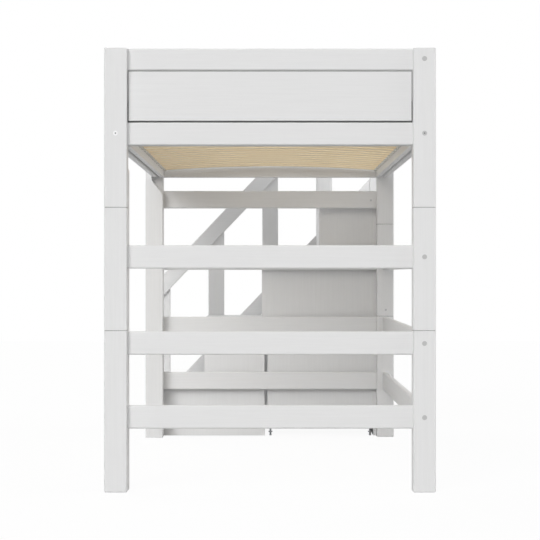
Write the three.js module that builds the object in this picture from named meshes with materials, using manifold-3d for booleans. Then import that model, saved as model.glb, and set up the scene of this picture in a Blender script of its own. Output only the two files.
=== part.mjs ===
// A loft bed with a storage staircase across its far end, in painted solid wood.
// Millimetres, +Z up. X runs across the bed, from the open front side (-X) to the wall side (+X).
// Y runs along the bed, from the near end to the far end, where the stairs climb towards +X.
// The group's origin is on the floor, in the middle of the whole piece of furniture.
import * as THREE from "three";
import { mergeVertices } from "three/addons/utils/BufferGeometryUtils.js";
import Module from "manifold-3d";

const wasm = await Module();
wasm.setup();

// Bed frame
const BED_WIDTH = 1020;
const BED_LENGTH = 2100;
const POST_SIDE = 70;
const BOARD_THICKNESS = 21;
const EDGE_RADIUS = 5;
const LOWER_POST_LENGTH = 497;
const MIDDLE_POST_LENGTH = 379;
const POST_END_CHAMFER = 2;

// Rails, from the floor up
const BRACE_WIDTH = 72;
const FLOOR_TO_LOWER_BRACE = 194;
const LOWER_TO_MIDDLE_BRACE = 156;
const MIDDLE_TO_UPPER_BRACE = 194;
const UPPER_BRACE_TO_STEP_RAIL = 182;
const STEP_RAIL_TO_BASE_RAIL = 55;
const BASE_RAIL_WIDTH = 70;
const GUARD_OPENING = 161;
const TOP_RAIL_WIDTH = 67;

// Guard panels and the guard beside the entry
const PANEL_EDGE_GAP = 5;
const PANEL_END_GAP = 3.5;
const PANEL_TONGUE = 8;
const PANEL_LAP = 4;
const PANEL_LAP_HEIGHT = 67;
const ENTRY_WIDTH = 400;
const GUARD_POST_WIDTH = 70;

// Support boards in front of the two posts of the open side
const SUPPORT_THICKNESS = 40;
const OGEE_HEIGHT = 77;
const OGEE_TOP_GAP = 3;
const OGEE_STEPS = 10;

// Slatted base
const SLAT_FRAME_GAP = 12.5;
const SLAT_FRAME_WIDTH = 16;
const SLAT_FRAME_HEIGHT = 43;
const SLAT_COUNT = 16;
const SLAT_WIDTH = 68;
const SLAT_THICKNESS = 8;
const SLAT_CROWN = 16;
const SLAT_SEAT = 27;
const SLAT_END_CLEARANCE = 0.5;
const SLAT_MARGIN = 18;
const SLAT_STEPS = 8;
const HOLDER_WIDTH = 20;
const HOLDER_DROP = 10;

// Stairs
const STEP_COUNT = 4;
const FIRST_RISE = 240;
const RISE = 250;
const GOING = 238;
const LAST_TREAD_DEPTH = 225;
const END_PANEL_LAP = 10;
const STAIR_WIDTH = 485;
const EASED_EDGE = 1.5;
const MODULE_LAP = 12;
const MODULE_GAP = 11;
const LEFT_FLOOR_LIFT = 20;
const RIGHT_MODULE_LIFT = 30;

// Stringer, handrail and balusters on the stairs' outer side
const DIAGONAL_RISE = 94;
const STRINGER_CLEARANCE = 8.5;
const HANDRAIL_ABOVE_STAIRS = 637;
const BALUSTER_WIDTH = 70;
const BALUSTER_SETBACK = 8;
const NEWEL_THICKNESS = 42;
const NEWEL_LAP = 10;

// Drawers
const DRAWER_FRONT = 21;
const DRAWER_WALL = 12;
const DRAWER_BOTTOM = 9;
const DRAWER_RUN_CLEARANCE = 0.5;
const DRAWER_SIDE_CLEARANCE = 2;
const DRAWER_TOP_CLEARANCE = 3;
const DRAWER_BACK_GAP = 18;
const DRAWER_SIDE_DROP = 24;
const NOTCH_WIDTH = 120;
const NOTCH_DEPTH = 30;

// Levelling feet under the right stair module
const FOOT_INSET = 13;
const FOOT_BASE_RADIUS = 5;
const FOOT_BASE_HEIGHT = 4;
const FOOT_STEM_RADIUS = 4;
const FOOT_NUT_RADIUS = 9.5;
const FOOT_NUT_HEIGHT = 4;
const FOOT_NUT_ABOVE_FLOOR = 14;
const FOOT_STEM_IN_PANEL = 22;
const FOOT_BORE_CLEARANCE = 0.3;

const CURVE_SEGMENTS = 2;
const ROUND_SEGMENTS = 3;
const TURNED_SIDES = 24;
const OVERRUN = 2;

// Places that several pieces share
const halfWidth = BED_WIDTH / 2;
const postInner = halfWidth - POST_SIDE;
const boardInset = (POST_SIDE - BOARD_THICKNESS) / 2;
const farPostNear = BED_LENGTH - POST_SIDE;
const braceHeights = bracesFromTheFloor();
const stepRailBottom = braceHeights.upper + BRACE_WIDTH + UPPER_BRACE_TO_STEP_RAIL;
const baseRailBottom = stepRailBottom + BRACE_WIDTH + STEP_RAIL_TO_BASE_RAIL;
const baseRailTop = baseRailBottom + BASE_RAIL_WIDTH;
const topRailBottom = baseRailTop + GUARD_OPENING;
const bedTop = topRailBottom + TOP_RAIL_WIDTH;

const stairNear = BED_LENGTH;
const stairInnerFar = stairNear + BOARD_THICKNESS;
const stairFar = stairNear + STAIR_WIDTH;
const stairOuterNear = stairFar - BOARD_THICKNESS;
const diagonalFar = stairFar + BOARD_THICKNESS;
const totalLength = diagonalFar + BOARD_THICKNESS;
const stairRight = postInner + END_PANEL_LAP - BOARD_THICKNESS;
const leftModuleRight = stepX(STEP_COUNT - 1) + MODULE_LAP;
const rightModuleLeft = leftModuleRight + MODULE_GAP;
const newelLeft = stairRight + BOARD_THICKNESS - NEWEL_LAP;
const slope = RISE / GOING;

const paint = new THREE.MeshStandardMaterial({ color: 0xe1e0de, roughness: 0.45, metalness: 0 });
const beech = new THREE.MeshStandardMaterial({ color: 0xc7b597, roughness: 0.6, metalness: 0 });
const zinc = new THREE.MeshStandardMaterial({ color: 0x8b8d8f, roughness: 0.35, metalness: 1 });

const bed = new THREE.Group();
const stairs = new THREE.Group();
const loftBed = new THREE.Group();
loftBed.add(bed, stairs);
loftBed.position.y = -totalLength / 2;

function bracesFromTheFloor() {
  const middle = FLOOR_TO_LOWER_BRACE + BRACE_WIDTH + LOWER_TO_MIDDLE_BRACE;
  return { lower: FLOOR_TO_LOWER_BRACE, middle, upper: middle + BRACE_WIDTH + MIDDLE_TO_UPPER_BRACE };
}

// The front edge of a step, counted from one and worked back from the stairs' right end, and the
// height of its tread.
function stepX(step) {
  return stairRight - LAST_TREAD_DEPTH - (STEP_COUNT - step) * GOING;
}

function stepZ(step) {
  return FIRST_RISE + (step - 1) * RISE;
}

// A line parallel to the stairs, a given height above the corners between treads and risers.
function pitchLine(x, above) {
  return stepZ(1) + above + slope * (x - stepX(2));
}

function pitchLineX(z, above) {
  return stepX(2) + (z - stepZ(1) - above) / slope;
}

function add(group, name, geometry, material) {
  const mesh = new THREE.Mesh(geometry, material);
  mesh.name = name;
  group.add(mesh);
  return mesh;
}

function toSolid(geometry) {
  const bare = geometry.clone();
  bare.deleteAttribute("normal");
  bare.deleteAttribute("uv");
  const merged = mergeVertices(bare);
  const vertProperties = merged.attributes.position.array;
  const triVerts = new Uint32Array(merged.index.array);
  return new wasm.Manifold(new wasm.Mesh({ numProp: 3, vertProperties, triVerts }));
}

function toGeometry(solid) {
  const mesh = solid.getMesh();
  const geometry = new THREE.BufferGeometry();
  geometry.setAttribute("position", new THREE.BufferAttribute(mesh.vertProperties, 3));
  geometry.setIndex(new THREE.BufferAttribute(mesh.triVerts, 1));
  return geometry;
}

function block([x0, x1], [y0, y1], [z0, z1]) {
  const geometry = new THREE.BoxGeometry(x1 - x0, y1 - y0, z1 - z0);
  return geometry.translate((x0 + x1) / 2, (y0 + y1) / 2, (z0 + z1) / 2);
}

function roundedSection(width, height, radius) {
  const quarter = Math.PI / 2;
  const shape = new THREE.Shape();
  shape.absarc(width - radius, radius, radius, -quarter, 0);
  shape.absarc(width - radius, height - radius, radius, 0, quarter);
  shape.absarc(radius, height - radius, radius, quarter, 2 * quarter);
  shape.absarc(radius, radius, radius, 2 * quarter, 3 * quarter);
  shape.closePath();
  return shape;
}

// Where a bar's section and its length point, for a bar along each axis.
const AXES = {
  x: new THREE.Vector3(1, 0, 0),
  y: new THREE.Vector3(0, 1, 0),
  z: new THREE.Vector3(0, 0, 1),
};
const BAR_ORDER = { x: ["y", "z", "x"], y: ["z", "x", "y"], z: ["x", "y", "z"] };

// A bar of rounded section between two corners, its length along the named axis.
function bar(along, [x0, x1], [y0, y1], [z0, z1], radius = EDGE_RADIUS, chamfer = 0) {
  const size = { x: x1 - x0, y: y1 - y0, z: z1 - z0 };
  const [width, height, length] = BAR_ORDER[along].map((axis) => size[axis]);
  const geometry = new THREE.ExtrudeGeometry(roundedSection(width, height, radius), {
    depth: length - 2 * chamfer,
    curveSegments: CURVE_SEGMENTS,
    bevelEnabled: chamfer > 0,
    bevelSize: chamfer,
    bevelThickness: chamfer,
    bevelOffset: -chamfer,
    bevelSegments: 1,
  });
  geometry.translate(0, 0, chamfer);
  geometry.applyMatrix4(new THREE.Matrix4().makeBasis(...BAR_ORDER[along].map((axis) => AXES[axis])));
  return geometry.translate(x0, y0, z0);
}

// A plate cut to an outline of [x, z] points, upright across Y, with its faces' edges rounded.
function plate(outline, [y0, y1], radius, segments = ROUND_SEGMENTS) {
  const shape = new THREE.Shape(outline.map(([x, z]) => new THREE.Vector2(x, z)));
  const geometry = new THREE.ExtrudeGeometry(shape, {
    depth: y1 - y0 - 2 * radius,
    bevelEnabled: radius > 0,
    bevelSize: radius,
    bevelThickness: radius,
    bevelOffset: -radius,
    bevelSegments: segments,
  });
  geometry.rotateX(Math.PI / 2);
  return geometry.translate(0, y1 - radius, 0);
}

// Posts: three lengths joined end to end, on a corner of the bed.
function jointedPost(name, x, y) {
  const levels = [0, LOWER_POST_LENGTH, LOWER_POST_LENGTH + MIDDLE_POST_LENGTH, bedTop];
  ["lower", "middle", "upper"].forEach((part, i) => {
    const z = [levels[i], levels[i + 1]];
    add(bed, `${name}_${part}`, bar("z", x, y, z, EDGE_RADIUS, POST_END_CHAMFER), paint);
  });
}

const leftPostX = [-halfWidth, -postInner];
const rightPostX = [postInner, halfWidth];
const nearPostY = [0, POST_SIDE];
const farPostY = [farPostNear, BED_LENGTH];
jointedPost("near_left_post", leftPostX, nearPostY);
jointedPost("near_right_post", rightPostX, nearPostY);
jointedPost("far_right_post", rightPostX, farPostY);
add(bed, "far_left_post", bar("z", leftPostX, farPostY, [0, bedTop], EDGE_RADIUS, POST_END_CHAMFER), paint);

// Support boards: full width up to an S-shaped shoulder, then a strip outside the base rail.
function supportOutline() {
  const stripX = boardInset - halfWidth;
  const shoulderTop = baseRailBottom - OGEE_TOP_GAP;
  const points = [
    [-halfWidth, baseRailTop],
    [-halfWidth, 0],
    [-postInner, 0],
  ];
  for (let i = 0; i <= OGEE_STEPS; i += 1) {
    const share = i / OGEE_STEPS;
    const across = (1 - Math.cos(Math.PI * share)) / 2;
    const x = -postInner + (stripX + postInner) * across;
    points.push([x, shoulderTop - OGEE_HEIGHT * (1 - share)]);
  }
  points.push([stripX, baseRailTop]);
  return points;
}

const nearSupportY = [POST_SIDE, POST_SIDE + SUPPORT_THICKNESS];
const farSupportY = [farPostNear - SUPPORT_THICKNESS, farPostNear];
add(bed, "near_left_support_post", plate(supportOutline(), nearSupportY, EASED_EDGE, 1), paint);
add(bed, "far_left_support_post", plate(supportOutline(), farSupportY, EASED_EDGE, 1), paint);

// Rails between the posts.
const betweenPostsX = [-postInner, postInner];
const betweenPostsY = [POST_SIDE, farPostNear];
const nearBoardY = [boardInset, boardInset + BOARD_THICKNESS];
const farBoardY = [BED_LENGTH - boardInset - BOARD_THICKNESS, BED_LENGTH - boardInset];
const wallBoardX = [halfWidth - boardInset - BOARD_THICKNESS, halfWidth - boardInset];
const frontBoardX = [boardInset - halfWidth, boardInset + BOARD_THICKNESS - halfWidth];

function endRail(name, y, z, width) {
  add(bed, name, bar("x", betweenPostsX, y, [z, z + width]), paint);
}

function sideRail(name, x, z, width) {
  add(bed, name, bar("y", x, betweenPostsY, [z, z + width]), paint);
}

endRail("near_end_top_rail", nearBoardY, topRailBottom, TOP_RAIL_WIDTH);
endRail("near_end_base_rail", nearBoardY, baseRailBottom, BASE_RAIL_WIDTH);
endRail("far_end_base_rail", farBoardY, baseRailBottom, BASE_RAIL_WIDTH);
endRail("far_end_step_rail", farBoardY, stepRailBottom, BRACE_WIDTH);
sideRail("wall_side_top_rail", wallBoardX, topRailBottom, TOP_RAIL_WIDTH);
sideRail("wall_side_base_rail", wallBoardX, baseRailBottom, BASE_RAIL_WIDTH);
sideRail("front_side_top_rail", frontBoardX, topRailBottom, TOP_RAIL_WIDTH);
sideRail("front_side_base_rail", frontBoardX, baseRailBottom, BASE_RAIL_WIDTH);
for (const [level, z] of Object.entries(braceHeights)) {
  endRail(`near_end_${level}_brace`, nearBoardY, z, BRACE_WIDTH);
  endRail(`far_end_${level}_brace`, farBoardY, z, BRACE_WIDTH);
  sideRail(`wall_side_${level}_brace`, wallBoardX, z, BRACE_WIDTH);
}

// Guard panels: a board whose edges meet the rails and the posts in a thin tongue, and low down in a
// thinner lap that is flush with the inner face, so that the groove round it is deeper there.
function guardPanel(name, along, x, y, inward) {
  const z = [baseRailTop, topRailBottom];
  const inZ = [z[0] + PANEL_EDGE_GAP, z[1] - PANEL_EDGE_GAP];
  const lapTop = z[0] + PANEL_LAP_HEIGHT;
  const tongueInset = (BOARD_THICKNESS - PANEL_TONGUE) / 2;
  const thin = ([low, high]) => [low + tongueInset, high - tongueInset];
  const inner = ([low, high]) => (inward > 0 ? [high - PANEL_LAP, high] : [low, low + PANEL_LAP]);
  const short = ([low, high]) => [low + PANEL_END_GAP, high - PANEL_END_GAP];
  const edge = (across, height) => {
    return along === "x" ? block(x, across(y), height) : block(across(x), y, height);
  };
  const [faceX, faceY] = along === "x" ? [short(x), y] : [x, short(y)];
  const face = toSolid(bar(along, faceX, faceY, inZ, EASED_EDGE));
  const tongue = toSolid(edge(thin, [lapTop, z[1]]));
  const lap = toSolid(edge(inner, [z[0], lapTop]));
  add(bed, name, toGeometry(face.add(tongue).add(lap)), paint);
}

guardPanel("near_end_panel", "x", betweenPostsX, nearBoardY, 1);
guardPanel("wall_side_panel", "y", wallBoardX, betweenPostsY, -1);
guardPanel("front_side_panel", "y", frontBoardX, betweenPostsY, 1);

// The guard beside the entry at the far end: one wide board and the short post that carries it.
const entryLeft = postInner - ENTRY_WIDTH;
const guardPostX = [entryLeft - GUARD_POST_WIDTH, entryLeft];
const guardPostY = [farBoardY[0] - BOARD_THICKNESS, farBoardY[0]];
const guardBoardZ = [baseRailTop + PANEL_EDGE_GAP, bedTop];
add(bed, "far_guard_board", bar("x", [-postInner, entryLeft], farBoardY, guardBoardZ), paint);
add(bed, "far_guard_post", bar("z", guardPostX, guardPostY, [baseRailBottom, bedTop]), paint);

// Slatted base: a frame that rests between the posts, and bowed slats with their ends in two holder strips.
const slatFrameX = wallBoardX[0] - SLAT_FRAME_GAP;
const slatEnd = slatFrameX - SLAT_FRAME_WIDTH - SLAT_END_CLEARANCE;
const slatSeat = baseRailBottom + SLAT_SEAT;
const slatRadius = (slatEnd * slatEnd + SLAT_CROWN * SLAT_CROWN) / (2 * SLAT_CROWN);

// The height of a slat's underside, which is an arc.
function slatUnderside(x) {
  return slatSeat + SLAT_CROWN - slatRadius + Math.sqrt(slatRadius * slatRadius - x * x);
}

function slatFrame() {
  const outline = (inset) => [
    new THREE.Vector2(inset - slatFrameX, POST_SIDE + inset),
    new THREE.Vector2(slatFrameX - inset, POST_SIDE + inset),
    new THREE.Vector2(slatFrameX - inset, farPostNear - inset),
    new THREE.Vector2(inset - slatFrameX, farPostNear - inset),
  ];
  const ring = new THREE.Shape(outline(0));
  ring.holes.push(new THREE.Path(outline(SLAT_FRAME_WIDTH)));
  const geometry = new THREE.ExtrudeGeometry(ring, { depth: SLAT_FRAME_HEIGHT, bevelEnabled: false });
  return geometry.translate(0, 0, baseRailBottom);
}

function slatOutline() {
  const under = [];
  for (let i = 0; i <= SLAT_STEPS; i += 1) {
    const x = slatEnd * ((2 * i) / SLAT_STEPS - 1);
    under.push([x, slatUnderside(x)]);
  }
  const over = under.map(([x, z]) => [x, z + SLAT_THICKNESS]).reverse();
  return [...under, ...over];
}

function holderStrip(x, y) {
  const top = slatUnderside(slatEnd - HOLDER_WIDTH) + SLAT_THICKNESS / 2;
  return block(x, y, [slatSeat - HOLDER_DROP, top]);
}

function slatRow() {
  const inset = SLAT_FRAME_WIDTH + SLAT_MARGIN;
  const row = [POST_SIDE + inset, farPostNear - inset];
  const pitch = (row[1] - row[0] - SLAT_WIDTH) / (SLAT_COUNT - 1);
  const leftStrip = toSolid(holderStrip([-slatEnd, HOLDER_WIDTH - slatEnd], row));
  const rightStrip = toSolid(holderStrip([slatEnd - HOLDER_WIDTH, slatEnd], row));
  let solid = leftStrip.add(rightStrip);
  for (let i = 0; i < SLAT_COUNT; i += 1) {
    const y0 = row[0] + i * pitch;
    solid = solid.add(toSolid(plate(slatOutline(), [y0, y0 + SLAT_WIDTH], 0)));
  }
  return toGeometry(solid);
}

add(bed, "slat_frame", slatFrame(), paint);
add(bed, "slats", slatRow(), beech);

// Stair carcasses: a left module of two steps and a right module of two, each between stepped panels.
const treadY = [stairInnerFar, stairOuterNear];
const innerPanelY = [stairNear, stairInnerFar];
const outerPanelY = [stairOuterNear, stairFar];

function leftPanelOutline() {
  return [
    [stepX(1), 0],
    [leftModuleRight, 0],
    [leftModuleRight, stepZ(2)],
    [stepX(2), stepZ(2)],
    [stepX(2), stepZ(1)],
    [stepX(1), stepZ(1)],
  ];
}

function rightPanelOutline() {
  return [
    [rightModuleLeft, RIGHT_MODULE_LIFT],
    [stairRight, RIGHT_MODULE_LIFT],
    [stairRight, stepZ(4)],
    [stepX(4), stepZ(4)],
    [stepX(4), stepZ(3)],
    [stepX(3), stepZ(3)],
    [stepX(3), stepZ(2)],
    [rightModuleLeft, stepZ(2)],
  ];
}

function stairBoard(name, x, top) {
  const z = [top - BOARD_THICKNESS, top];
  add(stairs, name, bar("y", x, treadY, z, EASED_EDGE), paint);
}

const footY = (stairNear + stairInnerFar) / 2;
const footPlaces = { left: rightModuleLeft + FOOT_INSET, right: stairRight - FOOT_INSET };

function footBore(x) {
  const height = FOOT_STEM_IN_PANEL + OVERRUN;
  const radius = FOOT_STEM_RADIUS + FOOT_BORE_CLEARANCE;
  const bore = new THREE.CylinderGeometry(radius, radius, height, TURNED_SIDES);
  bore.rotateX(Math.PI / 2);
  return bore.translate(x, footY, RIGHT_MODULE_LIFT + height / 2 - OVERRUN / 2);
}

function rightInnerPanel() {
  let solid = toSolid(plate(rightPanelOutline(), innerPanelY, EASED_EDGE, 1));
  for (const x of Object.values(footPlaces)) {
    solid = solid.subtract(toSolid(footBore(x)));
  }
  return toGeometry(solid);
}

add(stairs, "left_module_inner_panel", plate(leftPanelOutline(), innerPanelY, EASED_EDGE, 1), paint);
add(stairs, "left_module_outer_panel", plate(leftPanelOutline(), outerPanelY, EASED_EDGE, 1), paint);
add(stairs, "right_module_inner_panel", rightInnerPanel(), paint);
add(stairs, "right_module_outer_panel", plate(rightPanelOutline(), outerPanelY, EASED_EDGE, 1), paint);
const endPanelX = [stairRight, stairRight + BOARD_THICKNESS];
add(stairs, "right_end_panel", bar("z", endPanelX, [stairNear, stairFar], [0, stepZ(4)], EASED_EDGE), paint);
stairBoard("left_module_bottom", [stepX(1), leftModuleRight], LEFT_FLOOR_LIFT + BOARD_THICKNESS);
stairBoard("tread_1", [stepX(1), leftModuleRight], stepZ(1));
stairBoard("tread_2", [stepX(2), leftModuleRight], stepZ(2));
stairBoard("right_module_shelf", [rightModuleLeft, stairRight], stepZ(2));
stairBoard("tread_3", [stepX(3), stairRight], stepZ(3));
stairBoard("tread_4", [stepX(4), stairRight], stepZ(4));

// Levelling feet: a turned foot and nut whose threaded stem enters the panel's lower edge.
function levellingFoot(x) {
  const nutTop = FOOT_NUT_ABOVE_FLOOR + FOOT_NUT_HEIGHT;
  const profile = [
    [0, 0],
    [FOOT_BASE_RADIUS, 0],
    [FOOT_BASE_RADIUS, FOOT_BASE_HEIGHT],
    [FOOT_STEM_RADIUS, FOOT_BASE_HEIGHT],
    [FOOT_STEM_RADIUS, FOOT_NUT_ABOVE_FLOOR],
    [FOOT_NUT_RADIUS, FOOT_NUT_ABOVE_FLOOR],
    [FOOT_NUT_RADIUS, nutTop],
    [FOOT_STEM_RADIUS, nutTop],
    [FOOT_STEM_RADIUS, RIGHT_MODULE_LIFT + FOOT_STEM_IN_PANEL],
    [0, RIGHT_MODULE_LIFT + FOOT_STEM_IN_PANEL],
  ];
  const points = profile.map(([radius, z]) => new THREE.Vector2(radius, z));
  const geometry = new THREE.LatheGeometry(points, TURNED_SIDES);
  geometry.rotateX(Math.PI / 2);
  return geometry.translate(x, footY, 0);
}

for (const [side, x] of Object.entries(footPlaces)) {
  add(stairs, `levelling_foot_${side}`, levellingFoot(x), zinc);
}

// Outer side: the stringer and the mitred handrail, on the inner faces of the balusters.
const diagonalY = [stairFar, diagonalFar];
const balusterY = [diagonalFar, totalLength];

function stringerOutline() {
  const toe = pitchLineX(0, STRINGER_CLEARANCE);
  const upper = STRINGER_CLEARANCE + DIAGONAL_RISE;
  return [
    [toe, 0],
    [newelLeft, pitchLine(newelLeft, STRINGER_CLEARANCE)],
    [newelLeft, pitchLine(newelLeft, upper)],
    [toe, pitchLine(toe, upper)],
  ];
}

const handrailWidth = DIAGONAL_RISE * Math.cos(Math.atan(slope));
const handrailUnder = HANDRAIL_ABOVE_STAIRS - DIAGONAL_RISE;
const handrailBend = pitchLineX(bedTop, HANDRAIL_ABOVE_STAIRS);

function handrailOutline() {
  const start = stepX(1);
  const levelUnder = bedTop - handrailWidth;
  return [
    [start, pitchLine(start, handrailUnder)],
    [pitchLineX(levelUnder, handrailUnder), levelUnder],
    [newelLeft, levelUnder],
    [newelLeft, bedTop],
    [handrailBend, bedTop],
    [start, pitchLine(start, HANDRAIL_ABOVE_STAIRS)],
  ];
}

// A baluster's top follows the handrail, a little below its upper edge.
function balusterTop(x) {
  return Math.min(pitchLine(x, HANDRAIL_ABOVE_STAIRS), bedTop) - BALUSTER_SETBACK;
}

function balusterOutline(x) {
  const right = x + BALUSTER_WIDTH;
  const points = [
    [x, 0],
    [right, 0],
    [right, balusterTop(right)],
  ];
  if (x < handrailBend && handrailBend < right) {
    points.push([handrailBend, balusterTop(handrailBend)]);
  }
  points.push([x, balusterTop(x)]);
  return points;
}

add(stairs, "stringer", plate(stringerOutline(), diagonalY, EDGE_RADIUS), paint);
add(stairs, "handrail", plate(handrailOutline(), diagonalY, EDGE_RADIUS), paint);
for (let step = 1; step <= STEP_COUNT; step += 1) {
  add(stairs, `baluster_${step}`, plate(balusterOutline(stepX(step)), balusterY, EDGE_RADIUS), paint);
}
const newelX = [newelLeft, newelLeft + BALUSTER_WIDTH];
const newelY = [totalLength - NEWEL_THICKNESS, totalLength];
add(stairs, "newel_post", bar("z", newelX, newelY, [0, bedTop], EDGE_RADIUS, POST_END_CHAMFER), paint);

// Drawers: a front with a finger notch and an open-topped box behind it, glued as one.
function drawerFront(x0, [y0, y1], [z0, z1]) {
  const width = y1 - y0;
  const height = z1 - z0;
  const shape = new THREE.Shape();
  shape.moveTo(0, 0);
  shape.lineTo(width, 0);
  shape.lineTo(width, height);
  shape.absellipse(width / 2, height, NOTCH_WIDTH / 2, NOTCH_DEPTH, 0, Math.PI, true);
  shape.lineTo(0, height);
  shape.closePath();
  const geometry = new THREE.ExtrudeGeometry(shape, {
    depth: DRAWER_FRONT - 2 * EASED_EDGE,
    curveSegments: TURNED_SIDES / 4,
    bevelSize: EASED_EDGE,
    bevelThickness: EASED_EDGE,
    bevelOffset: -EASED_EDGE,
    bevelSegments: 1,
  });
  geometry.translate(0, 0, EASED_EDGE);
  geometry.applyMatrix4(new THREE.Matrix4().makeBasis(AXES.y, AXES.z, AXES.x));
  return geometry.translate(x0, y0, z0);
}

function drawer(step, moduleEnd, floor) {
  const x0 = stepX(step);
  const x1 = moduleEnd - DRAWER_BACK_GAP;
  const y = [stairInnerFar + DRAWER_SIDE_CLEARANCE, stairOuterNear - DRAWER_SIDE_CLEARANCE];
  const z = [floor + DRAWER_RUN_CLEARANCE, stepZ(step) - BOARD_THICKNESS - DRAWER_TOP_CLEARANCE];
  const rim = z[1] - DRAWER_SIDE_DROP;
  const front = x0 + DRAWER_FRONT;
  const box = block([front - DRAWER_WALL, x1], y, [z[0], rim]);
  const innerY = [y[0] + DRAWER_WALL, y[1] - DRAWER_WALL];
  const hollow = block([front, x1 - DRAWER_WALL], innerY, [z[0] + DRAWER_BOTTOM, rim + OVERRUN]);
  const tub = toSolid(box).subtract(toSolid(hollow));
  add(stairs, `drawer_${step}`, toGeometry(toSolid(drawerFront(x0, y, z)).add(tub)), paint);
}

drawer(1, leftModuleRight, LEFT_FLOOR_LIFT + BOARD_THICKNESS);
drawer(2, leftModuleRight, stepZ(1));
drawer(3, stairRight, stepZ(2));
drawer(4, stairRight, stepZ(3));

export default loftBed;
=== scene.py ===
# %% [markdown]
# # A loft bed with a storage staircase
#
# The furniture is planed and rounded solid wood under white satin paint, with slats of laminated
# beech. Every board comes in from the CAD model as it is, because its shape is already right.
# What Blender adds is the finish of each surface, and the small fittings that the solids leave
# out: real slats in their holders, bolt caps, screws and the threaded feet.

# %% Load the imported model
import math

import bpy
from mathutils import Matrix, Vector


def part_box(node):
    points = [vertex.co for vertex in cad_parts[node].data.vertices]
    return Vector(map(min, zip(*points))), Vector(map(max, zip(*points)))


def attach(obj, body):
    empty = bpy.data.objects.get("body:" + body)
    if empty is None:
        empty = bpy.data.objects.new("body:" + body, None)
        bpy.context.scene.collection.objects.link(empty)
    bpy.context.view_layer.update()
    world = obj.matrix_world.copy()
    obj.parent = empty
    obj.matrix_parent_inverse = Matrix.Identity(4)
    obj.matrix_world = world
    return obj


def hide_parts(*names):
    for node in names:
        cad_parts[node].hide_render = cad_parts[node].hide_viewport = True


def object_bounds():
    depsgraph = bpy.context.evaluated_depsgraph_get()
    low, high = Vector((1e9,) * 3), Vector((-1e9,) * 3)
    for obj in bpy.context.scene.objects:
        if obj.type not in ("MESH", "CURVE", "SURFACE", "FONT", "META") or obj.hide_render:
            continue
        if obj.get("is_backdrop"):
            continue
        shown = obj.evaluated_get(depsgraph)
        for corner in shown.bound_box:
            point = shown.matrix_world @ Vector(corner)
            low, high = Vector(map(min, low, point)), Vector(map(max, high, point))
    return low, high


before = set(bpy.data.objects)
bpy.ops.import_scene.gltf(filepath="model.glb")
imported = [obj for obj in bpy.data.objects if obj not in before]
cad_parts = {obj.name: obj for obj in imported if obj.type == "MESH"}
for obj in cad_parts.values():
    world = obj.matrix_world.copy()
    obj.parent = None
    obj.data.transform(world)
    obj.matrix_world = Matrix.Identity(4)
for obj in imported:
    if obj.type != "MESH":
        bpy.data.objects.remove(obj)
cad_low, cad_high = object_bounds()
MM = 0.001
print("CAD nodes:", len(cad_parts), "size:", [round(v, 3) for v in cad_high - cad_low])

# %% [markdown]
# ## The camera
#
# The picture was taken square on to the near end, from so far away that the far posts look three
# quarters as large as the near ones. A long lens and a level camera give that. The horizon lies a
# little under the middle of the frame, and a level camera keeps the posts upright, so the small
# difference is made with the lens's vertical shift and not by tilting.

# %% Camera
CAMERA_PLACE = (0, -7.2695, 0.6728)
CAMERA_LENS = 129.24
CAMERA_SHIFT = 0.0065
LEVEL = (math.radians(90), 0, 0)

bpy.ops.object.select_all(action="DESELECT")
bpy.ops.object.camera_add(location=CAMERA_PLACE, rotation=LEVEL)
camera = bpy.context.object
camera.data.lens = CAMERA_LENS
camera.data.shift_y = CAMERA_SHIFT
bpy.context.scene.camera = camera
bpy.context.scene.view_settings.view_transform = "Standard"
print("camera lens:", camera.data.lens, "mm")

# %% [markdown]
# ## Colours and nodes
#
# Colours are written as sRGB hex values, as a paint chart gives them, and Blender's shaders work
# in linear light, so one function turns the first into the second. A second function adds a node,
# sets its sockets and joins its links, which keeps each material short enough to read.

# %% Colour and node helpers
def linear(hex_code):
    """An sRGB hex colour as the linear colour that a shader socket takes."""
    channels = [int(hex_code[i:i + 2], 16) / 255 for i in (1, 3, 5)]
    return (*[c / 12.92 if c <= 0.04045 else ((c + 0.055) / 1.055) ** 2.4 for c in channels], 1)


def add_node(tree, kind, sockets=None, links=None, **settings):
    """Adds a node, with settings for it, values for its sockets and outputs to link to them."""
    node = tree.nodes.new(kind)
    for name, value in settings.items():
        setattr(node, name, value)
    for name, value in (sockets or {}).items():
        node.inputs[name].default_value = value
    for name, output in (links or {}).items():
        tree.links.new(output, node.inputs[name])
    return node


def new_material(name):
    """An empty node material and its tree."""
    material = bpy.data.materials.new(name)
    material.use_nodes = True
    material.node_tree.nodes.clear()
    return material, material.node_tree


WHITE = linear("#FFFFFF")
print("white in linear light:", WHITE)

# %% [markdown]
# ## Studio light
#
# The bed stands in a white studio. The near boards are evenly bright, and the far boards under the
# bed dim towards the upper right, so the main light is one soft box in front, a little to the
# left, whose light reaches in under the slats. A weak one hangs high over it, and two more stand
# at the right and behind on the left, for the views from there. They are drawn into the world as
# bright patches with soft rims. Area lamps could do the same, but each would fall off with
# distance and leave a bright spot on the near boards.

# %% Soft boxes in the world
FILL_LEVEL = 0.05
# Each soft box: degrees round from the front towards the left, degrees up, how narrow, how strong.
SOFT_BOXES = {
    "key": (20, 20, 40, 11.6),
    "high": (10, 50, 8, 1.0),
    "right": (-90, 20, 6, 2.5),
    "back": (140, 20, 6, 2.6),
}

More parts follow.
